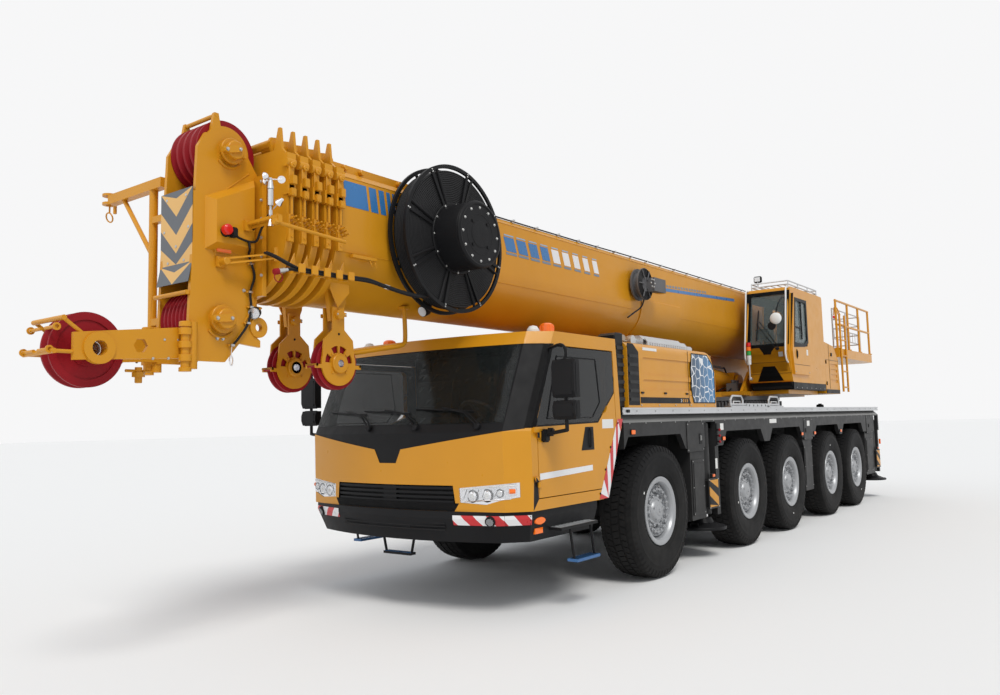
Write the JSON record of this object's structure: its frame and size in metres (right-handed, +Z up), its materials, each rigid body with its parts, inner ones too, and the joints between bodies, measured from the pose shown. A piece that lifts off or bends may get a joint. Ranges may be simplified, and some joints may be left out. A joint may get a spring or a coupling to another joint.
{
  "type": "five-axle mobile crane with telescopic boom",
  "caption": "All-terrain mobile crane: driver's cab, steered wheels, sliding outriggers, slewing turntable and a telescopic boom lowered for the road",
  "frame": {"origin": "on the ground, at the middle of the crane's length and width", "axes": "+X forward, +Y to the crane's left, +Z up"},
  "size_m": [15.49, 3.4, 3.908],
  "materials": {
    "yellow_paint": "gloss",
    "dark_paint": "satin",
    "black_paint": "satin",
    "bare_aluminium": "satin",
    "sheave_red": "satin",
    "tyre_rubber": "matte",
    "machine_grey": "matte",
    "lamp_plastic": "gloss",
    "cab_trim": "matte",
    "chrome_rod": "polished"
  },
  "bodies": {
    "carrier": {"carrier_frame": "dark_paint", "axles": "machine_grey", "deck": "bare_aluminium", "side_skirts": "dark_paint", "engine_block": "machine_grey", "engine_hood": "yellow_paint", "exhaust": "bare_aluminium", "slew_ring": "machine_grey", "cab_shell": "yellow_paint", "cab_interior": "cab_trim", "bumper": "dark_paint", "lamps": "lamp_plastic"},
    "door_left": {"door_left": "yellow_paint"},
    "door_right": {"door_right": "yellow_paint"},
    "beam_front_left": {"outrigger_beam_front_left": "dark_paint"},
    "jack_front_left": {"outrigger_jack_front_left": "machine_grey"},
    "beam_front_right": {"outrigger_beam_front_right": "dark_paint"},
    "jack_front_right": {"outrigger_jack_front_right": "machine_grey"},
    "beam_rear_left": {"outrigger_beam_rear_left": "dark_paint"},
    "jack_rear_left": {"outrigger_jack_rear_left": "machine_grey"},
    "beam_rear_right": {"outrigger_beam_rear_right": "dark_paint"},
    "jack_rear_right": {"outrigger_jack_rear_right": "machine_grey"},
    "wheel_1_left": {"wheel_1_left": "tyre_rubber"},
    "knuckle_1_left": {"knuckle_1_left": "machine_grey"},
    "wheel_1_right": {"wheel_1_right": "tyre_rubber"},
    "knuckle_1_right": {"knuckle_1_right": "machine_grey"},
    "wheel_2_left": {"wheel_2_left": "tyre_rubber"},
    "knuckle_2_left": {"knuckle_2_left": "machine_grey"},
    "wheel_2_right": {"wheel_2_right": "tyre_rubber"},
    "knuckle_2_right": {"knuckle_2_right": "machine_grey"},
    "wheel_3_left": {"wheel_3_left": "tyre_rubber"},
    "wheel_3_right": {"wheel_3_right": "tyre_rubber"},
    "wheel_4_left": {"wheel_4_left": "tyre_rubber"},
    "knuckle_4_left": {"knuckle_4_left": "machine_grey"},
    "wheel_4_right": {"wheel_4_right": "tyre_rubber"},
    "knuckle_4_right": {"knuckle_4_right": "machine_grey"},
    "wheel_5_left": {"wheel_5_left": "tyre_rubber"},
    "knuckle_5_left": {"knuckle_5_left": "machine_grey"},
    "wheel_5_right": {"wheel_5_right": "tyre_rubber"},
    "knuckle_5_right": {"knuckle_5_right": "machine_grey"},
    "turntable": {"turntable": "yellow_paint", "counterweight": "yellow_paint", "platform": "yellow_paint", "operator_cab": "yellow_paint"},
    "operator_door": {"operator_door": "yellow_paint"},
    "winch_drum": {"winch_drum": "machine_grey"},
    "boom_base": {"boom_base": "yellow_paint", "hanging_sheaves": "yellow_paint"},
    "boom_section_2": {"boom_section_2": "yellow_paint"},
    "boom_section_3": {"boom_section_3": "yellow_paint"},
    "boom_section_4": {"boom_section_4": "yellow_paint"},
    "boom_section_5": {"boom_section_5": "yellow_paint"},
    "boom_head": {"boom_head": "yellow_paint"},
    "top_sheaves": {"top_sheaves": "sheave_red"},
    "bottom_sheaves": {"bottom_sheaves": "sheave_red"},
    "front_sheave": {"front_sheave": "sheave_red"},
    "cable_reel": {"cable_reel": "black_paint"},
    "lift_barrel": {"lift_barrel": "yellow_paint"},
    "lift_rod": {"lift_rod": "chrome_rod"}
  },
  "joints": [
    {"name": "door_left_hinge", "type": "hinge", "parent": "carrier", "child": "door_left", "pos_m": [4.331, 1.344, 1.3], "axis": [0, 0, -1], "range_deg": [0, 70]},
    {"name": "door_right_hinge", "type": "hinge", "parent": "carrier", "child": "door_right", "pos_m": [4.331, -1.344, 1.3], "axis": [0, 0, 1], "range_deg": [0, 70]},
    {"name": "beam_front_left_slide", "type": "slide", "parent": "carrier", "child": "beam_front_left", "axis": [0, 1, 0], "range_m": [0, 1.75]},
    {"name": "jack_front_left_slide", "type": "slide", "parent": "beam_front_left", "child": "jack_front_left", "axis": [0, 0, -1], "range_m": [0, 0.55]},
    {"name": "beam_front_right_slide", "type": "slide", "parent": "carrier", "child": "beam_front_right", "axis": [0, -1, 0], "range_m": [0, 1.75]},
    {"name": "jack_front_right_slide", "type": "slide", "parent": "beam_front_right", "child": "jack_front_right", "axis": [0, 0, -1], "range_m": [0, 0.55]},
    {"name": "beam_rear_left_slide", "type": "slide", "parent": "carrier", "child": "beam_rear_left", "axis": [0, 1, 0], "range_m": [0, 1.75]},
    {"name": "jack_rear_left_slide", "type": "slide", "parent": "beam_rear_left", "child": "jack_rear_left", "axis": [0, 0, -1], "range_m": [0, 0.55]},
    {"name": "beam_rear_right_slide", "type": "slide", "parent": "carrier", "child": "beam_rear_right", "axis": [0, -1, 0], "range_m": [0, 1.75]},
    {"name": "jack_rear_right_slide", "type": "slide", "parent": "beam_rear_right", "child": "jack_rear_right", "axis": [0, 0, -1], "range_m": [0, 0.55]},
    {"name": "steer_1_left", "type": "hinge", "parent": "carrier", "child": "knuckle_1_left", "pos_m": [2.135, 0.9, 0.683], "axis": [0, 0, 1], "range_deg": [-34, 34]},
    {"name": "roll_1_left", "type": "hinge", "parent": "knuckle_1_left", "child": "wheel_1_left", "pos_m": [2.135, 1.1825, 0.683], "axis": [0, 1, 0], "continuous": true},
    {"name": "steer_1_right", "type": "hinge", "parent": "carrier", "child": "knuckle_1_right", "pos_m": [2.135, -0.9, 0.683], "axis": [0, 0, 1], "range_deg": [-34, 34]},
    {"name": "roll_1_right", "type": "hinge", "parent": "knuckle_1_right", "child": "wheel_1_right", "pos_m": [2.135, -1.1825, 0.683], "axis": [0, 1, 0], "continuous": true},
    {"name": "steer_2_left", "type": "hinge", "parent": "carrier", "child": "knuckle_2_left", "pos_m": [-0.395, 0.9, 0.683], "axis": [0, 0, 1], "range_deg": [-15, 15]},
    {"name": "roll_2_left", "type": "hinge", "parent": "knuckle_2_left", "child": "wheel_2_left", "pos_m": [-0.395, 1.1825, 0.683], "axis": [0, 1, 0], "continuous": true},
    {"name": "steer_2_right", "type": "hinge", "parent": "carrier", "child": "knuckle_2_right", "pos_m": [-0.395, -0.9, 0.683], "axis": [0, 0, 1], "range_deg": [-15, 15]},
    {"name": "roll_2_right", "type": "hinge", "parent": "knuckle_2_right", "child": "wheel_2_right", "pos_m": [-0.395, -1.1825, 0.683], "axis": [0, 1, 0], "continuous": true},
    {"name": "roll_3_left", "type": "hinge", "parent": "carrier", "child": "wheel_3_left", "pos_m": [-2.065, 1.1825, 0.683], "axis": [0, 1, 0], "continuous": true},
    {"name": "roll_3_right", "type": "hinge", "parent": "carrier", "child": "wheel_3_right", "pos_m": [-2.065, -1.1825, 0.683], "axis": [0, 1, 0], "continuous": true},
    {"name": "steer_4_left", "type": "hinge", "parent": "carrier", "child": "knuckle_4_left", "pos_m": [-4.13, 0.9, 0.683], "axis": [0, 0, 1], "range_deg": [-18, 18]},
    {"name": "roll_4_left", "type": "hinge", "parent": "knuckle_4_left", "child": "wheel_4_left", "pos_m": [-4.13, 1.1825, 0.683], "axis": [0, 1, 0], "continuous": true},
    {"name": "steer_4_right", "type": "hinge", "parent": "carrier", "child": "knuckle_4_right", "pos_m": [-4.13, -0.9, 0.683], "axis": [0, 0, 1], "range_deg": [-18, 18]},
    {"name": "roll_4_right", "type": "hinge", "parent": "knuckle_4_right", "child": "wheel_4_right", "pos_m": [-4.13, -1.1825, 0.683], "axis": [0, 1, 0], "continuous": true},
    {"name": "steer_5_left", "type": "hinge", "parent": "carrier", "child": "knuckle_5_left", "pos_m": [-5.73, 0.9, 0.683], "axis": [0, 0, 1], "range_deg": [-30, 30]},
    {"name": "roll_5_left", "type": "hinge", "parent": "knuckle_5_left", "child": "wheel_5_left", "pos_m": [-5.73, 1.1825, 0.683], "axis": [0, 1, 0], "continuous": true},
    {"name": "steer_5_right", "type": "hinge", "parent": "carrier", "child": "knuckle_5_right", "pos_m": [-5.73, -0.9, 0.683], "axis": [0, 0, 1], "range_deg": [-30, 30]},
    {"name": "roll_5_right", "type": "hinge", "parent": "knuckle_5_right", "child": "wheel_5_right", "pos_m": [-5.73, -1.1825, 0.683], "axis": [0, 1, 0], "continuous": true},
    {"name": "slew", "type": "hinge", "parent": "carrier", "child": "turntable", "pos_m": [-3.115, 0, 1.94], "axis": [0, 0, 1], "continuous": true},
    {"name": "operator_door_slide", "type": "slide", "parent": "turntable", "child": "operator_door", "axis": [-1, 0, 0], "range_m": [0, 0.75]},
    {"name": "winch_turn", "type": "hinge", "parent": "turntable", "child": "winch_drum", "pos_m": [-6.415, 0, 3.08], "axis": [0, 1, 0], "continuous": true},
    {"name": "luff", "type": "hinge", "parent": "turntable", "child": "boom_base", "pos_m": [-4.965, 0, 3.05], "axis": [0, -1, 0], "range_deg": [0, 82]},
    {"name": "telescope_2", "type": "slide", "parent": "boom_base", "child": "boom_section_2", "axis": [1, 0, 0], "range_m": [0, 9.2]},
    {"name": "telescope_3", "type": "slide", "parent": "boom_section_2", "child": "boom_section_3", "axis": [1, 0, 0], "range_m": [0, 9.2]},
    {"name": "telescope_4", "type": "slide", "parent": "boom_section_3", "child": "boom_section_4", "axis": [1, 0, 0], "range_m": [0, 9.2]},
    {"name": "telescope_5", "type": "slide", "parent": "boom_section_4", "child": "boom_section_5", "axis": [1, 0, 0], "range_m": [0, 9.2]},
    {"name": "telescope_6", "type": "slide", "parent": "boom_section_5", "child": "boom_head", "axis": [1, 0, 0], "range_m": [0, 9.2]},
    {"name": "top_sheaves_turn", "type": "hinge", "parent": "boom_head", "child": "top_sheaves", "pos_m": [6.53, 0, 3.64], "axis": [0, 1, 0], "continuous": true},
    {"name": "bottom_sheaves_turn", "type": "hinge", "parent": "boom_head", "child": "bottom_sheaves", "pos_m": [6.595, 0, 2.41], "axis": [0, 1, 0], "continuous": true},
    {"name": "front_sheave_turn", "type": "hinge", "parent": "boom_head", "child": "front_sheave", "pos_m": [7.459, 0, 2.16], "axis": [0, 1, 0], "continuous": true},
    {"name": "cable_reel_turn", "type": "hinge", "parent": "boom_base", "child": "cable_reel", "pos_m": [4.585, 0, 3.24], "axis": [0, 1, 0], "continuous": true},
    {"name": "lift_foot", "type": "hinge", "parent": "turntable", "child": "lift_barrel", "pos_m": [-3.165, 0, 2.2], "axis": [0, -1, 0], "range_deg": [0, 91]},
    {"name": "lift_stroke", "type": "slide", "parent": "lift_barrel", "child": "lift_rod", "axis": [0.9979, 0, 0.0655], "range_m": [0, 2.533]}
  ],
  "couplings": [
    {"joint": "steer_1_right", "follows": "steer_1_left", "ratio": 1},
    {"joint": "steer_2_left", "follows": "steer_1_left", "ratio": 0.44},
    {"joint": "steer_2_right", "follows": "steer_1_left", "ratio": 0.44},
    {"joint": "steer_4_left", "follows": "steer_5_left", "ratio": 0.6},
    {"joint": "steer_4_right", "follows": "steer_5_left", "ratio": 0.6},
    {"joint": "steer_5_right", "follows": "steer_5_left", "ratio": 1},
    {"joint": "lift_foot", "follows": "luff", "ratio": 1.1064},
    {"joint": "lift_stroke", "follows": "luff", "m_per_rad": 1.7629}
  ]
}
